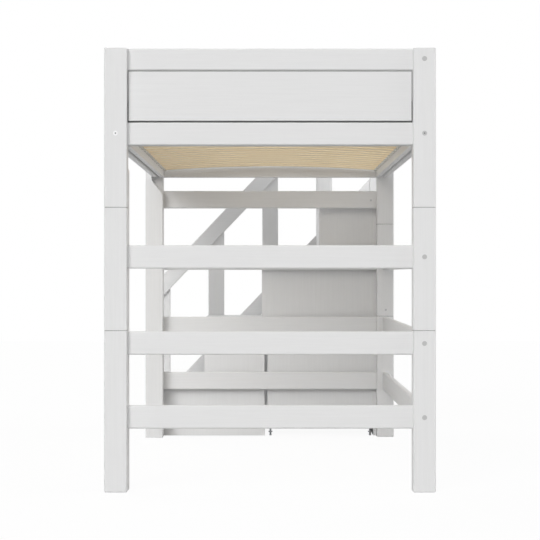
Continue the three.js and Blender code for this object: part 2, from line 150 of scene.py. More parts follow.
world = bpy.data.worlds.new("white_studio")
bpy.context.scene.world = world
world.use_nodes = True
tree = world.node_tree
tree.nodes.clear()
place = add_node(tree, "ShaderNodeTexCoord")
level = add_node(tree, "ShaderNodeMath", {0: FILL_LEVEL, 1: 0}, operation="ADD")
for round_left, up, narrow, strength in SOFT_BOXES.values():
    turn, tilt = math.radians(round_left), math.radians(up)
    toward = (-math.sin(turn) * math.cos(tilt), -math.cos(turn) * math.cos(tilt), math.sin(tilt))
    facing = add_node(tree, "ShaderNodeVectorMath", {1: toward}, {0: place.outputs["Generated"]},
                      operation="DOT_PRODUCT")
    facing = add_node(tree, "ShaderNodeMath", {1: 0}, {0: facing.outputs["Value"]},
                      operation="MAXIMUM")
    patch = add_node(tree, "ShaderNodeMath", {1: narrow}, {0: facing.outputs[0]},
                     operation="POWER")
    level = add_node(tree, "ShaderNodeMath", {1: strength},
                     {0: patch.outputs[0], 2: level.outputs[0]}, operation="MULTIPLY_ADD")
lit = add_node(tree, "ShaderNodeBackground", {"Color": WHITE}, {"Strength": level.outputs[0]})
print("world fill:", FILL_LEVEL, "soft boxes:", list(SOFT_BOXES))

# %% [markdown]
# ## The white backdrop
#
# The soft boxes must not show. The camera sees plain white instead, and so do reflections and what
# is seen through a clear surface. Light Path tells those rays from the ones that carry light.

# %% Backdrop in the world
SEEN_LEVEL = 1.0

seen = add_node(tree, "ShaderNodeBackground", {"Color": WHITE, "Strength": SEEN_LEVEL})
path = add_node(tree, "ShaderNodeLightPath")
shown = add_node(tree, "ShaderNodeMath", links={
    0: path.outputs["Is Camera Ray"], 1: path.outputs["Is Glossy Ray"]}, operation="MAXIMUM")
shown = add_node(tree, "ShaderNodeMath", links={
    0: shown.outputs[0], 1: path.outputs["Is Transmission Ray"]}, operation="MAXIMUM")
mixed = add_node(tree, "ShaderNodeMixShader", links={
    0: shown.outputs[0], 1: lit.outputs[0], 2: seen.outputs[0]})
add_node(tree, "ShaderNodeOutputWorld", links={"Surface": mixed.outputs[0]})
print("backdrop level:", SEEN_LEVEL)

# %% [markdown]
# ## The floor
#
# The floor is a pale seamless sheet. To light bouncing off it, it is matt grey, which leaves the
# boards' undersides as dim as the photo has them. To the camera it is nearly as white as the
# backdrop, with a weak share of a matt surface mixed in, which keeps a faint contact shadow under
# the posts.

# %% Floor
FLOOR_SIZE = 24        # m
BOUNCE_GREY = "#C8C8C8"
SHADOW_PAPER = "#FAFAFA"
SHADOW_SHARE = 0.06

floor_paper, tree = new_material("matt_paper_floor")
matt = add_node(tree, "ShaderNodeBsdfDiffuse", {"Color": linear(BOUNCE_GREY)})
glow = add_node(tree, "ShaderNodeEmission", {"Color": WHITE, "Strength": SEEN_LEVEL})
paper = add_node(tree, "ShaderNodeBsdfDiffuse", {"Color": linear(SHADOW_PAPER)})
seen = add_node(tree, "ShaderNodeMixShader", {0: SHADOW_SHARE},
                {1: glow.outputs[0], 2: paper.outputs[0]})
path = add_node(tree, "ShaderNodeLightPath")
mixed = add_node(tree, "ShaderNodeMixShader", links={
    0: path.outputs["Is Camera Ray"], 1: matt.outputs[0], 2: seen.outputs[0]})
add_node(tree, "ShaderNodeOutputMaterial", links={"Surface": mixed.outputs[0]})

bpy.ops.object.select_all(action="DESELECT")
bpy.ops.mesh.primitive_plane_add(size=FLOOR_SIZE, location=(0, 0, 0))
floor = bpy.context.object
floor.name = "floor"
floor.data.materials.append(floor_paper)
floor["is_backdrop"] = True
print("floor:", FLOOR_SIZE, "m square")

# %% [markdown]
# ## White satin paint on solid wood
#
# The boards are planed, sanded and sprayed with a water-based satin paint. The film fills the
# pores, so the grain only telegraphs: long shallow ripples along the board and a very fine spray
# texture across them. Satin means a soft broad highlight, with a roughness a little under a half.
# One function makes the paint for a given grain direction, because each board's grain runs along
# its length.

# %% Painted wood
PAINT_COLOUR = "#E5E5E5"
PAINT_COLOUR_DEEP = "#E2E2E2"
PAINT_ROUGHNESS = (0.4, 0.5)
FILM_IOR = 1.5         # a film of paint or lacquer
GRAIN_ALONG = 160      # mm, the length of a streak of grain
GRAIN_ACROSS = 5       # mm, its width; real rings are finer, and would not show from here
SPRAY_GRAIN = 1.6      # mm, the spray's texture, drawn coarser than it is so that it shows
GRAIN_DEPTH = 0.018    # mm
SPRAY_DEPTH = 0.015    # mm
GRAIN_TONES = {"From Min": 0.3, "From Max": 0.7}  # the noise seldom leaves this range
LENGTHWISE = {"x": 0, "y": 1, "z": 2}


def per_metre(size_mm):
    """A noise scale whose features are about this many millimetres wide."""
    return 1 / (size_mm * MM)


def painted_wood(name, along, turn=(0, 0, 0)):
    """Satin white paint on a board whose grain runs along an axis, after a turn."""
    material, tree = new_material(name)
    scale = [per_metre(GRAIN_ACROSS)] * 3
    scale[LENGTHWISE[along]] = per_metre(GRAIN_ALONG)
    place = add_node(tree, "ShaderNodeTexCoord")
    grain_way = add_node(tree, "ShaderNodeMapping", {"Rotation": turn, "Scale": scale},
                         {"Vector": place.outputs["Object"]})
    grain = add_node(tree, "ShaderNodeTexNoise", {"Scale": 1, "Detail": 3, "Roughness": 0.6},
                     {"Vector": grain_way.outputs[0]})
    spray = add_node(tree, "ShaderNodeTexNoise", {"Scale": per_metre(SPRAY_GRAIN), "Detail": 1},
                     {"Vector": place.outputs["Object"]})
    tone = add_node(tree, "ShaderNodeMapRange", GRAIN_TONES, {"Value": grain.outputs["Fac"]})
    colour = add_node(tree, "ShaderNodeMix", {"A": linear(PAINT_COLOUR),
                      "B": linear(PAINT_COLOUR_DEEP)}, {0: tone.outputs[0]}, data_type="RGBA")
    sheen = add_node(tree, "ShaderNodeMapRange", {"To Min": PAINT_ROUGHNESS[0],
                     "To Max": PAINT_ROUGHNESS[1]}, {"Value": spray.outputs["Fac"]})
    ripple = add_node(tree, "ShaderNodeBump", {"Strength": 1, "Distance": GRAIN_DEPTH * MM},
                      {"Height": grain.outputs["Fac"]})
    peel = add_node(tree, "ShaderNodeBump", {"Strength": 1, "Distance": SPRAY_DEPTH * MM},
                    {"Height": spray.outputs["Fac"], "Normal": ripple.outputs[0]})
    paint = add_node(tree, "ShaderNodeBsdfPrincipled", {"IOR": FILM_IOR}, {
        "Base Color": colour.outputs[2], "Roughness": sheen.outputs[0],
        "Normal": peel.outputs[0]})
    add_node(tree, "ShaderNodeOutputMaterial", links={"Surface": paint.outputs[0]})
    return material


print("paint:", PAINT_COLOUR, PAINT_COLOUR_DEEP)

# %% One paint for each way the grain runs
STAIR_RISE = 250       # mm
STAIR_GOING = 238      # mm
STAIR_SLOPE = math.atan2(STAIR_RISE, STAIR_GOING)
paints = {axis: painted_wood(f"satin_paint_grain_{axis}", axis) for axis in LENGTHWISE}
paints["slope"] = painted_wood("satin_paint_grain_slope", "x", (0, STAIR_SLOPE, 0))
print("paints:", sorted(paints))

# %% [markdown]
# ## Laminated beech
#
# The slats are thin beech veneers glued in an arch and lacquered. Beech is a warm pale brown with
# fine straight grain and short darker flecks. Two noises, each drawn out along the slat, give the
# grain and the flecks, and the lacquer is a little duller over a fleck.

# %% Beech
BEECH_PALE = "#FFEBC5"
BEECH_DARK = "#F9E2BA"
BEECH_ROUGHNESS = (0.42, 0.56)
BEECH_STREAK = (220, 7, 7)     # mm, long, wide and deep
BEECH_DEPTH = 0.04             # mm
FLECK_COLOUR = "#F1D9AF"
FLECK_SIZE = (9, 1.2, 1.2)     # mm, drawn about twice as wide as real ones, so that they show
# Only the noise's peaks are flecks, and a fleck lets half of the ground show through.
FLECK_SHARE = {"From Min": 0.62, "From Max": 0.72, "To Max": 0.5}

beech, tree = new_material("lacquered_laminated_beech")
place = add_node(tree, "ShaderNodeTexCoord")
way = add_node(tree, "ShaderNodeMapping", {"Scale": [per_metre(size) for size in BEECH_STREAK]},
               {"Vector": place.outputs["Object"]})
grain = add_node(tree, "ShaderNodeTexNoise", {"Scale": 1, "Detail": 4},
                 {"Vector": way.outputs[0]})
tone = add_node(tree, "ShaderNodeMapRange", GRAIN_TONES, {"Value": grain.outputs["Fac"]})
ground = add_node(tree, "ShaderNodeMix", {"A": linear(BEECH_PALE), "B": linear(BEECH_DARK)},
                  {0: tone.outputs[0]}, data_type="RGBA")
way = add_node(tree, "ShaderNodeMapping", {"Scale": [per_metre(size) for size in FLECK_SIZE]},
               {"Vector": place.outputs["Object"]})
fleck = add_node(tree, "ShaderNodeTexNoise", {"Scale": 1, "Detail": 0},
                 {"Vector": way.outputs[0]})
share = add_node(tree, "ShaderNodeMapRange", FLECK_SHARE, {"Value": fleck.outputs["Fac"]})
colour = add_node(tree, "ShaderNodeMix", {"B": linear(FLECK_COLOUR)},
                  {0: share.outputs[0], "A": ground.outputs[2]}, data_type="RGBA")
ripple = add_node(tree, "ShaderNodeBump", {"Strength": 1, "Distance": BEECH_DEPTH * MM},
                  {"Height": grain.outputs["Fac"]})
gloss = add_node(tree, "ShaderNodeMapRange", {"To Min": BEECH_ROUGHNESS[0],
                 "To Max": BEECH_ROUGHNESS[1]}, {"Value": fleck.outputs["Fac"]})
wood = add_node(tree, "ShaderNodeBsdfPrincipled", {"IOR": FILM_IOR}, {
    "Base Color": colour.outputs[2], "Roughness": gloss.outputs[0], "Normal": ripple.outputs[0]})
add_node(tree, "ShaderNodeOutputMaterial", links={"Surface": wood.outputs[0]})
print("beech:", BEECH_PALE, BEECH_DARK)

# %% [markdown]
# ## Plastics and steel
#
# The slat holders are moulded in soft warm grey plastic with a fine spark-eroded texture, and the
# bolt caps in a harder plastic a little darker than the paint. One washer is white. The plates
# between the posts' lengths are dark grey as painted shade of the joints' grooves. The screws and
# feet are steel with bright zinc plate, and the bolts' sockets are dark steel, painted darker
# still as the shade of a deeper socket. All of them are two close tones and a fine texture, so one
# function makes them.

# %% Fine-grained materials
def fine_grained(name, pale, deep, grain_mm, depth_mm, roughness, metallic=0):
    """A moulded plastic or a plated metal: two close tones and a texture of one grain size."""
    material, tree = new_material(name)
    place = add_node(tree, "ShaderNodeTexCoord")
    grain = add_node(tree, "ShaderNodeTexNoise", {"Scale": per_metre(grain_mm), "Detail": 2},
                     {"Vector": place.outputs["Object"]})
    colour = add_node(tree, "ShaderNodeMix", {"A": linear(pale), "B": linear(deep)},
                      {0: grain.outputs["Fac"]}, data_type="RGBA")
    sheen = add_node(tree, "ShaderNodeMapRange", {"To Min": roughness[0],
                     "To Max": roughness[1]}, {"Value": grain.outputs["Fac"]})
    skin = add_node(tree, "ShaderNodeBump", {"Strength": 1, "Distance": depth_mm * MM},
                    {"Height": grain.outputs["Fac"]})
    body = add_node(tree, "ShaderNodeBsdfPrincipled", {"Metallic": metallic}, {
        "Base Color": colour.outputs[2], "Roughness": sheen.outputs[0],
        "Normal": skin.outputs[0]})
    add_node(tree, "ShaderNodeOutputMaterial", links={"Surface": body.outputs[0]})
    return material


holder_plastic = fine_grained("moulded_grey_holder_plastic", "#D8D3C8", "#CFCABF",
                              grain_mm=1.2, depth_mm=0.03, roughness=(0.5, 0.65))
cap_plastic = fine_grained("moulded_grey_cap_plastic", "#C2C2C2", "#BABABA",
                           grain_mm=1.0, depth_mm=0.02, roughness=(0.35, 0.5))
white_plastic = fine_grained("moulded_white_washer_plastic", "#FBFBFB", "#F5F5F5",
                             grain_mm=1.0, depth_mm=0.02, roughness=(0.3, 0.4))
# Painted shade: the joint plates are dark grey so that the joints' grooves show dark.
joint_shade_plastic = fine_grained("dark_plastic_painted_joint_shade", "#8E8E8E", "#868686",
                             grain_mm=1.0, depth_mm=0.02, roughness=(0.5, 0.6))
zinc = fine_grained("bright_zinc_plate", "#C9CBCD", "#A6A9AC",
                    grain_mm=2.5, depth_mm=0.01, roughness=(0.25, 0.4), metallic=1)
# Dark steel, painted darker still as the shade that a deeper socket would hold.
socket_steel_and_shade = fine_grained("dark_steel_socket_and_painted_shade", "#808183", "#737476",
                            grain_mm=1.0, depth_mm=0.01, roughness=(0.4, 0.5), metallic=1)
print("small fittings' materials made")

# %% [markdown]
# ## Grain on the boards
#
# A board's grain runs along its longest side. Three kinds don't follow that rule: the stepped side
# panels of the stairs are glued up with upright grain, the treads and the drawers' fronts run from
# side panel to side panel, and the handrail and the stringer follow the slope of the stairs.

# %% Paint the CAD boards
GRAIN_BY_HAND = {
    "left_module_bottom": "y",
    "tread_1": "y",
    "drawer_1": "y",
    "drawer_3": "y",
    "left_module_inner_panel": "z",
    "left_module_outer_panel": "z",
    "stringer": "slope",
    "handrail": "slope",
}


def grain_of(node):
    """The axis along which a CAD node's grain runs."""
    if node in GRAIN_BY_HAND:
        return GRAIN_BY_HAND[node]
    low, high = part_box(node)
    size = high - low
    return "xyz"[max(range(3), key=lambda i: size[i])]


for node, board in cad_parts.items():
    board.material_slots[0].material = paints[grain_of(node)]
print({axis: sum(grain_of(node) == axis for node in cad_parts) for axis in paints})

# %% [markdown]
# ## Painted shade in the panels' grooves
#
# Each guard panel meets the rails and the posts in a thin tongue at the bottom of a groove. The
# groove's shade is painted into the panel's colour as a grey band near its edges, but not on its
# two flat faces, so the groove is a fine dark line. Low down the painted shade is darker still.
# The panel gets a copy of its paint with this painted shade mixed in by place.

# %% Painted shade in a panel's grooves
# Painted shade in the grooves: a grey, and a darker grey low down.
GROOVE_SHADE_LIGHT = "#B4B4B4"
GROOVE_SHADE_DEEP = "#7C7C7C"
DEEP_SHADE_HEIGHT = 67       # mm above the panel's lower edge; below it the painted shade is darker
SHADE_AT_POSTS = 3.2  # mm, a little less than the groove is wide there
SHADE_AT_RAILS = 4.7  # mm
FACE_SKIN = 0.5        # mm, how far under a flat face the painted shade starts


def painted_groove_shade(node):
    """A copy of a panel's paint with painted shade in the groove round the panel."""
    low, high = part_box(node)
    centre, half = (low + high) / 2, (high - low) / 2
    across = min(range(3), key=lambda i: half[i])
    along = 1 - across
    margin = [SHADE_AT_POSTS * MM, SHADE_AT_POSTS * MM, SHADE_AT_RAILS * MM]
    margin[across] = FACE_SKIN * MM
    material = paints[grain_of(node)].copy()
    material.name = f"satin_paint_painted_groove_shade_{node}"
    tree = material.node_tree
    place = add_node(tree, "ShaderNodeTexCoord")
    off = add_node(tree, "ShaderNodeVectorMath", {1: centre}, {0: place.outputs["Object"]},
                   operation="SUBTRACT")
    off = add_node(tree, "ShaderNodeVectorMath", links={0: off.outputs[0]}, operation="ABSOLUTE")
    beyond = add_node(tree, "ShaderNodeVectorMath", {1: [h - m for h, m in zip(half, margin)]},
                      {0: off.outputs[0]}, operation="SUBTRACT")
    beyond = add_node(tree, "ShaderNodeSeparateXYZ", links={0: beyond.outputs[0]})
    edge = add_node(tree, "ShaderNodeMath", links={
        0: beyond.outputs[along], 1: beyond.outputs["Z"]}, operation="MAXIMUM")
    edge = add_node(tree, "ShaderNodeMath", {1: 0}, {0: edge.outputs[0]},
                    operation="GREATER_THAN")
    sunk = add_node(tree, "ShaderNodeMath", {1: 0}, {0: beyond.outputs[across]},
                    operation="LESS_THAN")
    share = add_node(tree, "ShaderNodeMath", links={0: edge.outputs[0], 1: sunk.outputs[0]},
                     operation="MULTIPLY")
    height = add_node(tree, "ShaderNodeSeparateXYZ", links={0: place.outputs["Object"]})
    low_down = add_node(tree, "ShaderNodeMath", {1: low.z + DEEP_SHADE_HEIGHT * MM},
                        {0: height.outputs["Z"]}, operation="LESS_THAN")
    # The painted shade's colour, darker low down.
    shade_colour = add_node(tree, "ShaderNodeMix", {"A": linear(GROOVE_SHADE_LIGHT),
                      "B": linear(GROOVE_SHADE_DEEP)}, {0: low_down.outputs[0]}, data_type="RGBA")
    paint = next(n for n in tree.nodes if n.type == "BSDF_PRINCIPLED")
    film = paint.inputs["Base Color"].links[0].from_socket
    colour = add_node(tree, "ShaderNodeMix", links={
        0: share.outputs[0], "A": film, "B": shade_colour.outputs[2]}, data_type="RGBA")
    tree.links.new(colour.outputs[2], paint.inputs["Base Color"])
    return material


print("primer:", GROOVE_SHADE_LIGHT, GROOVE_SHADE_DEEP)

# %% Painted groove shade on the three guard panels
GROOVE_SHADED_PANELS = ("near_end_panel", "wall_side_panel", "front_side_panel")
for node in GROOVE_SHADED_PANELS:
    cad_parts[node].material_slots[0].material = painted_groove_shade(node)
print("panels with painted groove shade:", len(GROOVE_SHADED_PANELS))

# %% [markdown]
# ## Working by hand in edit mode
#
# Each new piece starts from a primitive at its place and is shaped in edit mode. These helpers do
# what the hand does first each time: nothing else is selected, the piece is named, and a face is
# picked by the way it points. At the end the place goes into the mesh, so the object itself sits
# at the origin, as the CAD boards do.

# %% Helpers that start and shape a piece
SMOOTH_ANGLE = math.radians(35)
FACES_IT = 0.9         # how much of a face's unit normal lies along an axis that it faces


def begin(name, add, scale=(1, 1, 1), **options):
    """Adds a primitive with nothing else selected, puts its place into its mesh, and names it."""
    bpy.ops.object.select_all(action="DESELECT")
    add(**options)
    piece = bpy.context.object
    piece.scale = scale
    bpy.ops.object.transform_apply(location=True, rotation=True, scale=True)
    piece.name = name
    piece.data.name = name
    return piece


def pick_faces(piece, test):
    """Leaves edit mode for a moment to select just the faces that pass a test."""
    bpy.ops.object.mode_set(mode="EDIT")
    bpy.ops.mesh.select_mode(type="FACE")
    bpy.ops.mesh.select_all(action="DESELECT")
    bpy.ops.object.mode_set(mode="OBJECT")
    for face in piece.data.polygons:
        face.select = test(face)
    bpy.ops.object.mode_set(mode="EDIT")


def close_edit():
    """Back to object mode, with outward normals and smooth shading up to an angle."""
    bpy.ops.object.mode_set(mode="EDIT")
    bpy.ops.mesh.select_all(action="SELECT")
    bpy.ops.mesh.normals_make_consistent(inside=False)
    bpy.ops.object.mode_set(mode="OBJECT")
    bpy.ops.object.shade_smooth_by_angle(angle=SMOOTH_ANGLE)


print("shaping helpers ready")

# %% Helpers that copy and finish a piece
def copy_to(piece, name, place, turn=(0, 0, 0)):
    """A copy with its own mesh, turned about the origin and then moved."""
    bpy.ops.object.select_all(action="DESELECT")
    piece.select_set(True)
    bpy.context.view_layer.objects.active = piece
    bpy.ops.object.duplicate(linked=False)
    twin = bpy.context.object
    twin.name = name
    twin.data.name = name
    twin.rotation_euler = turn
    twin.location = place
    bpy.ops.object.transform_apply(location=True, rotation=True, scale=True)
    return twin


def finish_piece(piece, material, body="bed_and_stairs"):
    """Gives a piece its finish and the body that it rides on."""
    if not piece.data.materials:
        piece.data.materials.append(material)
    piece.data.materials[0] = material
    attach(piece, body)


print("finishing helpers ready")

# %% [markdown]
# ## The slats
#
# Sixteen slats, 68 mm wide and 8 mm thick, arch 16 mm over the width of the bed. A slat is a long
# bar bent to an arc, which is just what Spin makes: a rounded rectangle is set up at the left end
# and swept round the arc's centre, far below the floor.

# %% One slat
SLAT_WIDTH = 68 * MM
SLAT_THICK = 8 * MM
SLAT_CROWN = 16 * MM
SLAT_ROUNDING = 2.5 * MM
SLAT_STEPS = 24
END_IN_HOLDER = 3 * MM
holders_low, holders_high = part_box("slats")
slat_half = holders_high.x - END_IN_HOLDER
slat_top = holders_high.z
seat_z = slat_top - SLAT_CROWN - SLAT_THICK
arc_radius = (holders_high.x ** 2 + SLAT_CROWN ** 2) / (2 * SLAT_CROWN)
arc_centre = (0, 0, slat_top - SLAT_THICK - arc_radius)
half_angle = math.asin(slat_half / arc_radius)
middle_radius = arc_radius + SLAT_THICK / 2

slat = begin("slat", bpy.ops.mesh.primitive_plane_add, size=1,
             location=(-middle_radius * math.sin(half_angle), 0,
                       arc_centre[2] + middle_radius * math.cos(half_angle)),
             rotation=(0, math.pi / 2 - half_angle, 0), scale=(SLAT_THICK, SLAT_WIDTH, 1))
bpy.ops.object.mode_set(mode="EDIT")
bpy.ops.mesh.select_all(action="SELECT")
bpy.ops.mesh.bevel(offset=SLAT_ROUNDING, segments=3, affect="VERTICES")
bpy.ops.mesh.spin(steps=SLAT_STEPS, angle=-2 * half_angle, center=arc_centre, axis=(0, 1, 0))
close_edit()
print("slat:", [round(v, 4) for v in slat.dimensions], "ends' underside:", round(seat_z, 4))

# %% [markdown]
# ## Slats in a row
#
# The modelled slat is copied along the bed, each copy with its own mesh, at the places where the
# CAD model has them.

# %% The row of slats
SLAT_COUNT = 16
row_start = holders_low.y + SLAT_WIDTH / 2
pitch = (holders_high.y - holders_low.y - SLAT_WIDTH) / (SLAT_COUNT - 1)
slat_places = [row_start + i * pitch for i in range(SLAT_COUNT)]
slats = [copy_to(slat, f"slat_{i + 1}", (0, y, 0)) for i, y in enumerate(slat_places)]
bpy.data.objects.remove(slat)
for piece in slats:
    finish_piece(piece, beech)
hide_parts("slats")
print("slats:", len(slats), "pitch:", round(pitch, 4))

# %% [markdown]
# ## Slat holders
#
# Each slat's end sits in a moulded pocket that clips to the inner face of the frame. The pocket
# starts as a box. Its mouth is made by insetting the face that looks into the bed and extruding it
# back, and its edges are bevelled, because a mould can't have sharp ones.

# %% One slat holder
HOLDER_SIZE = (10.5 * MM, 80 * MM, 16.5 * MM)
HOLDER_WALL = 3 * MM
HOLDER_POCKET = 8 * MM
HOLDER_EDGE = 1 * MM
HOLDER_LIFT = 6.2 * MM  # its middle above the underside of the slat's end
FRAME_CLEARANCE = 0.5 * MM
frame_inner = holders_high.x + FRAME_CLEARANCE
holder_place = (frame_inner - HOLDER_SIZE[0] / 2, 0, seat_z + HOLDER_LIFT)

holder = begin("slat_holder", bpy.ops.mesh.primitive_cube_add, size=1, location=holder_place,
               scale=HOLDER_SIZE)
pick_faces(holder, lambda face: face.normal.x < -FACES_IT)
bpy.ops.mesh.inset(thickness=HOLDER_WALL)
bpy.ops.mesh.extrude_region_move(TRANSFORM_OT_translate={"value": (HOLDER_POCKET, 0, 0)})
bpy.ops.object.mode_set(mode="OBJECT")
bevel = holder.modifiers.new("moulded_edges", "BEVEL")
bevel.width = HOLDER_EDGE
bevel.segments = 2
bpy.ops.object.modifier_apply(modifier=bevel.name)
close_edit()
print("holder:", [round(v, 4) for v in holder.dimensions], "faces:", len(holder.data.polygons))

# %% Holders at both ends of each slat
HOLDER_TURNS = {"right": (0, 0, 0), "left": (0, 0, math.pi)}
for i, y in enumerate(slat_places):
    for side, turn in HOLDER_TURNS.items():
        piece = copy_to(holder, f"slat_holder_{side}_{i + 1}", (0, y, 0), turn)
        finish_piece(piece, holder_plastic)
bpy.data.objects.remove(holder)
print("holders:", len(HOLDER_TURNS) * len(slat_places))

# %% [markdown]
# ## Bolt caps
#
# Each rail is held by a connecting bolt that runs through the post, in a hole closed by a
# pressed-in cap 15 mm across. A cap is a short cylinder with a rounded rim and a slightly sunken
# face, so it is a primitive whose top face is bevelled at its rim, inset and pushed in.

# %% One bolt cap
CAP_RADIUS = 7.5 * MM
CAP_POINTS = 28
CAP_PROUD = 1.2 * MM
CAP_BURIED = 4 * MM
CAP_RIM = 0.6 * MM
CAP_RIDGE = 1.2 * MM
CAP_SUNK = 0.4 * MM


def upward(face):
    """Whether a face is the top of a fitting that looks up."""
    return face.normal.z > FACES_IT


cap = begin("bolt_cap", bpy.ops.mesh.primitive_cylinder_add, vertices=CAP_POINTS,
            radius=CAP_RADIUS, depth=CAP_PROUD + CAP_BURIED,
            location=(0, 0, (CAP_PROUD - CAP_BURIED) / 2))
pick_faces(cap, upward)
bpy.ops.mesh.bevel(offset=CAP_RIM, segments=2)
pick_faces(cap, upward)
bpy.ops.mesh.inset(thickness=CAP_RIDGE)
bpy.ops.mesh.extrude_region_move(TRANSFORM_OT_translate={"value": (0, 0, -CAP_SUNK)})
close_edit()
print("cap:", [round(v, 4) for v in cap.dimensions])

# %% [markdown]
# ## Where the caps go
#
# A cap sits in the middle of each rail's height, on the outer face of the post that the rail
# meets. The near faces of the posts show the caps of the rails along the bed, and the side faces
# show those of the rails across it. The places come from the CAD boards themselves. A fitting is
# modelled looking up, and each copy is turned to look out of its board.

# %% Placing a fitting
FACING = {
    "-y": (math.pi / 2, 0, 0),
    "+y": (-math.pi / 2, 0, 0),
    "-x": (0, -math.pi / 2, 0),
    "+x": (0, math.pi / 2, 0),
    "-z": (math.pi, 0, 0),
}


def place_fitting(master, name, at, facing, material):
    """A copy of a fitting at a place on a board, looking along an axis."""
    finish_piece(copy_to(master, name, at, FACING[facing]), material)


def middle_height(node):
    """The height of the middle of a board."""
    low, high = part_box(node)
    return (low.z + high.z) / 2


print("ways that a fitting can look:", list(FACING))

# %% Caps of the rails along the bed
POST_CENTRE = 475 * MM
SIDE_RAILS = ("top_rail", "upper_brace", "middle_brace", "lower_brace")
near_face = cad_low.y
far_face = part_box("far_right_post_lower")[1].y
for rail in SIDE_RAILS:
    z = middle_height(f"wall_side_{rail}")
    place_fitting(cap, f"bolt_cap_near_{rail}", (POST_CENTRE, near_face, z), "-y", cap_plastic)
    place_fitting(cap, f"bolt_cap_far_{rail}", (POST_CENTRE, far_face, z), "+y", cap_plastic)
print("caps at each end of the wall side's rails:", len(SIDE_RAILS))

# %% Caps of the rails across the bed
POST_HALF = 35 * MM
END_RAILS = {
    "near_end": ("top_rail", "base_rail", "upper_brace", "middle_brace", "lower_brace"),
    "far_end": ("base_rail", "step_rail", "upper_brace", "middle_brace", "lower_brace"),
}
post_middles = {"near_end": near_face + POST_HALF, "far_end": far_face - POST_HALF}
outer_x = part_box("near_right_post_lower")[1].x
for end, rails in END_RAILS.items():
    for rail in rails:
        z = middle_height(f"{end}_{rail}")
        for side, x, facing in (("left", -outer_x, "-x"), ("right", outer_x, "+x")):
            place_fitting(cap, f"bolt_cap_{end}_{rail}_{side}", (x, post_middles[end], z),
                          facing, cap_plastic)

# %% Caps where the balusters hold the stringer and the handrail
BALUSTER_COUNT = 4
DIAGONAL_HEIGHT = 94 * MM       # an inclined board's height, measured upright
LEVEL_PART_MIDDLE = 32 * MM     # under the handrail's top, where it runs level
outer_face = cad_high.y
slope = math.tan(STAIR_SLOPE)
stringer_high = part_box("stringer")[1]
handrail_low, handrail_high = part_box("handrail")
for step in range(1, BALUSTER_COUNT + 1):
    low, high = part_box(f"baluster_{step}")
    x = (low.x + high.x) / 2
    stringer_z = stringer_high.z - DIAGONAL_HEIGHT / 2 - slope * (stringer_high.x - x)
    handrail_z = min(handrail_low.z + DIAGONAL_HEIGHT / 2 + slope * (x - handrail_low.x),
                     handrail_high.z - LEVEL_PART_MIDDLE)
    for board, z in (("stringer", stringer_z), ("handrail", handrail_z)):
        place_fitting(cap, f"bolt_cap_{board}_{step}", (x, outer_face, z), "+y", cap_plastic)
print("baluster caps placed at y:", round(outer_face, 4))

# %% [markdown]
# ## Plates between the posts' lengths
#
# A post is three lengths that screw together, which is how the same bed can be built lower. A thin
# dark grey plate lies in each joint as painted shade: it makes the fine dark line at the bottom of
# the chamfered groove. It is a flat square with its corners rounded like the post's, thickened by
# extruding it.

# %% Post joint plates
PLATE_THICK = 1.6 * MM
PLATE_RECESS = 1.2 * MM
POST_CORNER = 2 * MM
joint_heights = set()
for post in ("near_left", "near_right", "far_right"):
    for part in ("lower", "middle"):
        low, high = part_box(f"{post}_post_{part}")
        centre = ((low.x + high.x) / 2, (low.y + high.y) / 2, high.z - PLATE_THICK / 2)
        plate = begin(f"joint_shade_plate_{post}_{part}", bpy.ops.mesh.primitive_plane_add,
                      size=high.x - low.x - 2 * PLATE_RECESS, location=centre)
        bpy.ops.object.mode_set(mode="EDIT")
        bpy.ops.mesh.select_all(action="SELECT")
        bpy.ops.mesh.bevel(offset=POST_CORNER, segments=2, affect="VERTICES")
        bpy.ops.mesh.extrude_region_move(TRANSFORM_OT_translate={"value": (0, 0, PLATE_THICK)})
        close_edit()
        # The dark grey plate is painted shade at the bottom of the joint's groove.
        finish_piece(plate, joint_shade_plastic)
        joint_heights.add(round(high.z, 3))
print("joint plates at:", sorted(joint_heights))

# %% [markdown]
# ## Base rail bolts
#
# The base rails carry the slats and the sleeper, so their bolts stay open for retightening: a pale
# washer as large as a cap, with a hexagon socket in it. The socket needs six corners and the
# washer a round rim, so a circle and a subdivided hexagon are bridged into a ring, and the ring's
# inner edge is pushed down to make the socket. It stays shallower than a real one, because below
# the washer the post's own face would cover it.

# %% The washer's ring
SOCKET_RADIUS = 2.6 * MM
HEXAGON = 6
RING_POINTS = 24

bolt = begin("socket_bolt", bpy.ops.mesh.primitive_circle_add, vertices=RING_POINTS,
             radius=CAP_RADIUS, location=(0, 0, CAP_PROUD))
bpy.ops.object.mode_set(mode="EDIT")
bpy.ops.mesh.select_all(action="DESELECT")
bpy.ops.mesh.primitive_circle_add(vertices=HEXAGON, radius=SOCKET_RADIUS,
                                  location=(0, 0, CAP_PROUD))
bpy.ops.mesh.subdivide(number_cuts=RING_POINTS // HEXAGON - 1)
bpy.ops.mesh.select_all(action="SELECT")
bpy.ops.mesh.bridge_edge_loops()
bpy.ops.object.mode_set(mode="OBJECT")
print("ring faces:", len(bolt.data.polygons))

# %% The socket and the rim
SOCKET_DEPTH = 1 * MM
SLACK = 0.01           # how far from its exact place an edge is still picked, as a share


def pick_edges(piece, test):
    """Selects just the edges whose two ends pass a test."""
    bpy.ops.object.mode_set(mode="EDIT")
    bpy.ops.mesh.select_mode(type="EDGE")
    bpy.ops.mesh.select_all(action="DESELECT")
    bpy.ops.object.mode_set(mode="OBJECT")
    points = piece.data.vertices
    for edge in piece.data.edges:
        edge.select = all(test(points[i].co) for i in edge.vertices)
    bpy.ops.object.mode_set(mode="EDIT")


